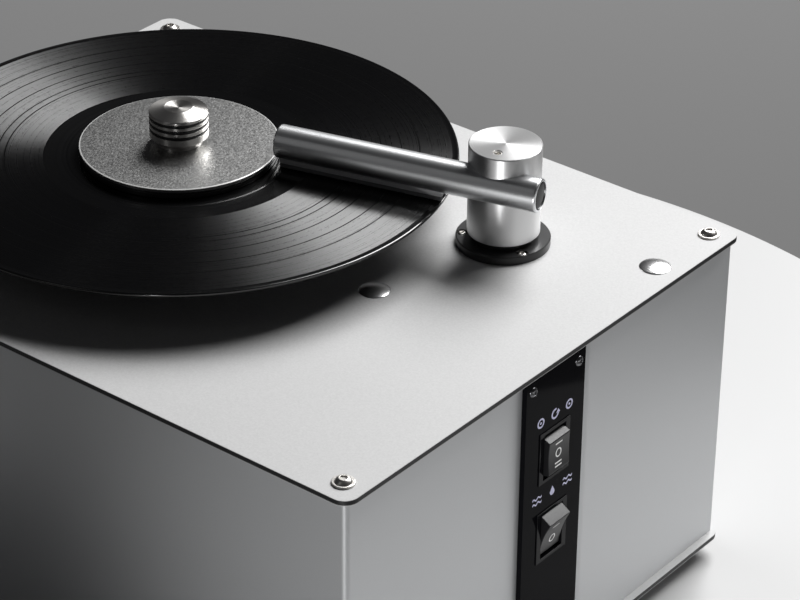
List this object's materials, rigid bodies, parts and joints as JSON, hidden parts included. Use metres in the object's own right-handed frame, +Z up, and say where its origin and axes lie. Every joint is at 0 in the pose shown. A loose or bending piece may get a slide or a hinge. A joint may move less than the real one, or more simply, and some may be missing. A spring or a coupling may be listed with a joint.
{
  "type": "record cleaning machine",
  "caption": "Vacuum record cleaning machine: clamped disc on a turntable, swinging suction arm on a column, side rocker switches.",
  "frame": {"origin": "bottom centre of the bounding box, on the surface the feet stand on", "axes": "+X to the side that carries the switches, +Y to the rear with the mains inlet, +Z up"},
  "size_m": [0.4196, 0.33, 0.2651],
  "materials": {
    "panel_skin": "fine satin anodised",
    "panel_core": "matt black edge",
    "cabinet_wall": "fine satin anodised",
    "bare_aluminium": "plain mill finish",
    "bright_screws": "polished",
    "hole_plugs": "mirror chrome",
    "black_screws": "satin black",
    "dark_screws": "blackened steel",
    "feet": "matt",
    "control_panel": "glossy black",
    "switch_black": "semi-gloss black",
    "bronze": "turned bronze",
    "steel": "ground",
    "platter": "turned",
    "platter_mat": "matt",
    "record": "grooved vinyl",
    "clamp_disc": "fine bead blasted",
    "clamp_seal": "matt",
    "clamp_knob": "polished turned steel",
    "arm_flange": "satin black anodised",
    "arm_column": "fine turned",
    "arm_tube": "polished tube",
    "tube_plugs": "glossy black",
    "pad_carriers": "matt black",
    "velvet": "short velvet pile",
    "tank": "natural moulded",
    "drain_plug": "moulded",
    "wire": "insulation"
  },
  "bodies": {
    "housing": {"top_panel_core": "panel_core", "top_panel_skins": "panel_skin", "bottom_panel_core": "panel_core", "bottom_panel_skins": "panel_skin", "cabinet_wrap": "cabinet_wall", "rear_panel": "cabinet_wall", "rear_screws": "black_screws", "corner_posts": "bare_aluminium", "top_screws": "bright_screws", "top_washers": "bright_screws", "bottom_screws": "dark_screws", "feet": "feet", "hole_plugs": "hole_plugs", "control_panel": "control_panel", "control_panel_screws": "black_screws", "motor_switch_housing": "switch_black", "vacuum_switch_housing": "switch_black", "bearing_housing": "bare_aluminium", "spindle_bush": "bronze", "bearing_screws": "black_screws", "gear_motor": "steel", "motor_bracket": "steel", "arm_flange": "arm_flange", "flange_screws": "dark_screws", "guide_sleeve": "bare_aluminium", "lift_spring": "steel", "suction_hose": "clamp_seal", "waste_tank": "tank", "tank_lid": "tank", "fan_sleeve": "clamp_seal", "fan_housing": "steel", "fan_motor_case": "steel", "motor_cradle": "steel", "mains_inlet": "switch_black", "inlet_pins": "steel", "power_supply": "bare_aluminium", "wiring_loom": "wire"},
    "turntable": {"spindle": "steel", "platter": "platter", "platter_mat": "platter_mat", "record": "record", "drive_coupling": "platter", "motor_shaft": "steel"},
    "clamp": {"clamp_disc": "clamp_disc", "clamp_seal": "clamp_seal", "clamp_knob": "clamp_knob", "knob_rings": "clamp_seal"},
    "arm_lift": {"lift_post": "bare_aluminium", "thrust_washer": "pad_carriers"},
    "suction_arm": {"arm_column": "arm_column", "arm_set_screw": "dark_screws", "arm_tube": "arm_tube", "tube_plugs": "tube_plugs", "pad_carriers": "pad_carriers", "velvet_pads": "velvet"},
    "motor_rocker": {"motor_rocker": "switch_black"},
    "vacuum_rocker": {"vacuum_rocker": "switch_black"},
    "fan_rotor": {"impeller": "tank", "fan_shaft": "steel"},
    "drain_plug": {"drain_plug": "drain_plug"}
  },
  "joints": [
    {"name": "turntable_turn", "type": "hinge", "parent": "housing", "child": "turntable", "pos_m": [-0.05327, 0.0045, 0], "axis": [0, 0, 1], "continuous": true},
    {"name": "clamp_lift_off", "type": "slide", "parent": "turntable", "child": "clamp", "axis": [0, 0, 1], "range_m": [0, 0.06]},
    {"name": "arm_lift", "type": "slide", "parent": "housing", "child": "arm_lift", "axis": [0, 0, 1], "range_m": [0, 0.01], "stiffness_N_per_m": 40, "springref_m": 0.02, "deforming": ["lift_spring"]},
    {"name": "arm_swing", "type": "hinge", "parent": "arm_lift", "child": "suction_arm", "pos_m": [0.11223, 0.0759, 0], "axis": [0, 0, 1], "range_deg": [-15, 95]},
    {"name": "motor_rocker_tilt", "type": "hinge", "parent": "housing", "child": "motor_rocker", "pos_m": [0.20183, 0.0005, 0.1505], "axis": [0, -1, 0], "range_deg": [-11, 11]},
    {"name": "vacuum_rocker_tilt", "type": "hinge", "parent": "housing", "child": "vacuum_rocker", "pos_m": [0.20183, 0.0005, 0.1015], "axis": [0, -1, 0], "range_deg": [0, 35]},
    {"name": "fan_spin", "type": "hinge", "parent": "housing", "child": "fan_rotor", "pos_m": [-0.13727, 0, 0.076], "axis": [0, 1, 0], "continuous": true},
    {"name": "drain_plug_pull", "type": "slide", "parent": "housing", "child": "drain_plug", "axis": [0, 1, 0], "range_m": [0, 0.03]}
  ]
}
